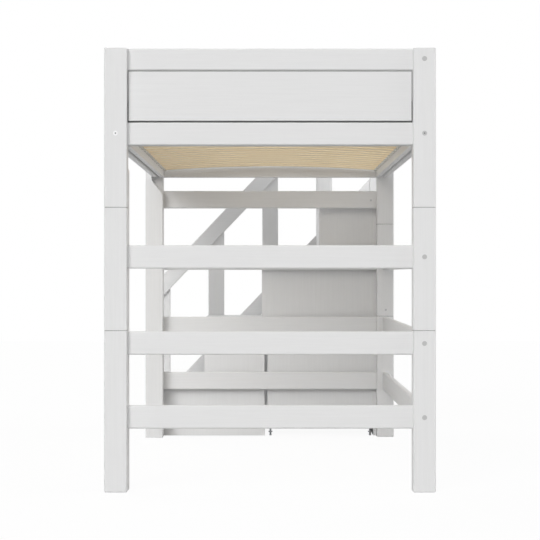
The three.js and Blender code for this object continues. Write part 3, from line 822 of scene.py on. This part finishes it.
pick_edges(bolt, lambda point: point.xy.length < SOCKET_RADIUS * (1 + SLACK))
bpy.ops.mesh.extrude_region_move(TRANSFORM_OT_translate={"value": (0, 0, -SOCKET_DEPTH)})
bpy.ops.mesh.edge_face_add()
pick_edges(bolt, lambda point: point.xy.length > CAP_RADIUS * (1 - SLACK))
bpy.ops.mesh.extrude_region_move(TRANSFORM_OT_translate={"value": (0, 0, -CAP_BURIED)})
bpy.ops.mesh.edge_face_add()
close_edit()
bolt.data.materials.append(cap_plastic)
bolt.data.materials.append(socket_steel_and_shade)
# The socket's faces get the dark steel, whose darkness is partly painted shade of a deeper socket.
for face in bolt.data.polygons:
    face.material_index = int(face.center.xy.length < SOCKET_RADIUS)
print("bolt:", [round(v, 4) for v in bolt.dimensions], "faces:", len(bolt.data.polygons))

# %% Bolts at the base rails
base_z = middle_height("near_end_base_rail")
for side, x, washer in (("left", -POST_CENTRE, white_plastic),
                        ("right", POST_CENTRE, cap_plastic)):
    place_fitting(bolt, f"socket_bolt_near_{side}", (x, near_face, base_z), "-y", washer)
    place_fitting(bolt, f"socket_bolt_far_{side}", (x, far_face, base_z), "+y", washer)
print("socket bolts placed at", round(base_z, 3))

# %% [markdown]
# ## Small screws
#
# Countersunk screws hold the slat frame to its ledge and the step rail to the stairs, and one sits
# in the far-right post. A head is flat and 8 mm across, modelled as a cylinder with a small sunken
# centre.

# %% One screw
SCREW_RADIUS = 4 * MM
SCREW_POINTS = 20
SCREW_HEIGHT = 3 * MM
SCREW_PROUD = 0.4 * MM
SCREW_RIM = 0.3 * MM
SCREW_RIDGE = 2.2 * MM
SCREW_SUNK = 1 * MM

screw = begin("screw", bpy.ops.mesh.primitive_cylinder_add, vertices=SCREW_POINTS,
              radius=SCREW_RADIUS, depth=SCREW_HEIGHT,
              location=(0, 0, SCREW_PROUD - SCREW_HEIGHT / 2))
pick_faces(screw, upward)
bpy.ops.mesh.bevel(offset=SCREW_RIM, segments=1)
pick_faces(screw, upward)
bpy.ops.mesh.inset(thickness=SCREW_RIDGE)
bpy.ops.mesh.extrude_region_move(TRANSFORM_OT_translate={"value": (0, 0, -SCREW_SUNK)})
close_edit()
print("screw:", [round(v, 4) for v in screw.dimensions])

# %% Screws in their places
MEMBER_MIDDLE = 8 * MM
SCREWS_A_SIDE = 7
SINGLE_SCREWS = {               # the board, then x and z on its near face
    "step_rail_screw": ("far_end_step_rail", 417 * MM, 975 * MM),
    "far_post_screw": ("far_right_post_lower", 477 * MM, 523 * MM),
}
frame_low, frame_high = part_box("slat_frame")
frame_sides = {"left": frame_low.x + MEMBER_MIDDLE, "right": frame_high.x - MEMBER_MIDDLE}
for i in range(SCREWS_A_SIDE):
    y = frame_low.y + (frame_high.y - frame_low.y) * (i + 0.5) / SCREWS_A_SIDE
    for side, x in frame_sides.items():
        place_fitting(screw, f"frame_screw_{side}_{i + 1}", (x, y, frame_low.z), "-z", zinc)
for name, (board, x, z) in SINGLE_SCREWS.items():
    place_fitting(screw, name, (x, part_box(board)[0].y, z), "-y", zinc)
for master in (cap, bolt, screw):
    bpy.data.objects.remove(master)
print("screws:", len(frame_sides) * SCREWS_A_SIDE + len(SINGLE_SCREWS))

# %% [markdown]
# ## Levelling feet
#
# Two zinc-plated feet level the right stair module on an uneven floor. Each is a threaded stem on
# a small pad, with a hexagon nut to turn it by. The stem is drawn as a lathe would cut it: one
# circle is extruded up and scaled again and again, which leaves the thread's ridges. A real thread
# climbs in a helix, and at this size closed ridges look the same.

# %% The stem's ridges
THREAD_PITCH = 1.25 * MM
THREAD_ROOT = 3.4 * MM
THREAD_START = 0.1 * MM  # above the pad
STEM_RADIUS = 4 * MM
STEM_TOP = 52 * MM
STEM_POINTS = 18
PAD_RADIUS = 5 * MM
PAD_HEIGHT = 4 * MM
PAD_EDGE = 0.5 * MM


def turned(name, at, profile):
    """A turned solid: a circle extruded upwards through (radius, height) pairs and closed."""
    radius, z = profile[0]
    piece = begin(name, bpy.ops.mesh.primitive_circle_add, vertices=STEM_POINTS, radius=radius,
                  fill_type="NGON", location=(at[0], at[1], at[2] + z))
    bpy.ops.object.mode_set(mode="EDIT")
    bpy.ops.mesh.select_all(action="SELECT")
    for next_radius, next_z in profile[1:]:
        bpy.ops.mesh.extrude_region_move(TRANSFORM_OT_translate={"value": (0, 0, next_z - z)})
        share = next_radius / radius
        bpy.ops.transform.resize(value=(share, share, 1),
                                 center_override=(at[0], at[1], at[2] + next_z))
        radius, z = next_radius, next_z
    close_edit()
    return piece


stem_profile = [(PAD_RADIUS - PAD_EDGE, 0), (PAD_RADIUS, PAD_EDGE),
                (PAD_RADIUS, PAD_HEIGHT - PAD_EDGE), (PAD_RADIUS - PAD_EDGE, PAD_HEIGHT)]
z = PAD_HEIGHT + THREAD_START
while z < STEM_TOP - THREAD_PITCH:
    stem_profile += [(THREAD_ROOT, z), (STEM_RADIUS, z + THREAD_PITCH / 2)]
    z += THREAD_PITCH
print("stem rings:", len(stem_profile))

# %% The feet
NUT_LOW, NUT_HIGH = 13.5 * MM, 18.5 * MM
NUT_RADIUS = 9.5 * MM
NUT_EDGE = 0.5 * MM
for side in ("left", "right"):
    node = f"levelling_foot_{side}"
    low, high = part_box(node)
    centre = ((low.x + high.x) / 2, (low.y + high.y) / 2, low.z)
    stem = turned(f"foot_{side}", centre, stem_profile)
    nut = begin("nut", bpy.ops.mesh.primitive_cylinder_add, vertices=HEXAGON,
                radius=NUT_RADIUS, depth=NUT_HIGH - NUT_LOW,
                location=(centre[0], centre[1], (NUT_LOW + NUT_HIGH) / 2))
    bpy.ops.object.mode_set(mode="EDIT")
    bpy.ops.mesh.select_all(action="SELECT")
    bpy.ops.mesh.bevel(offset=NUT_EDGE, segments=2)
    close_edit()
    bpy.ops.object.select_all(action="DESELECT")
    nut.select_set(True)
    stem.select_set(True)
    bpy.context.view_layer.objects.active = stem
    bpy.ops.object.join()
    finish_piece(stem, zinc, node)
    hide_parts(node)
    print(node, "made:", [round(v, 4) for v in stem.dimensions])

# %% [markdown]
# ## The visual model's size
#
# The visual model should be as large as the CAD model, apart from the caps, which stand a little
# proud. Its box is printed here.

# %% Size of the visual model
low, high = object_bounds()
print("visual box:", [round(v, 4) for v in low], [round(v, 4) for v in high])
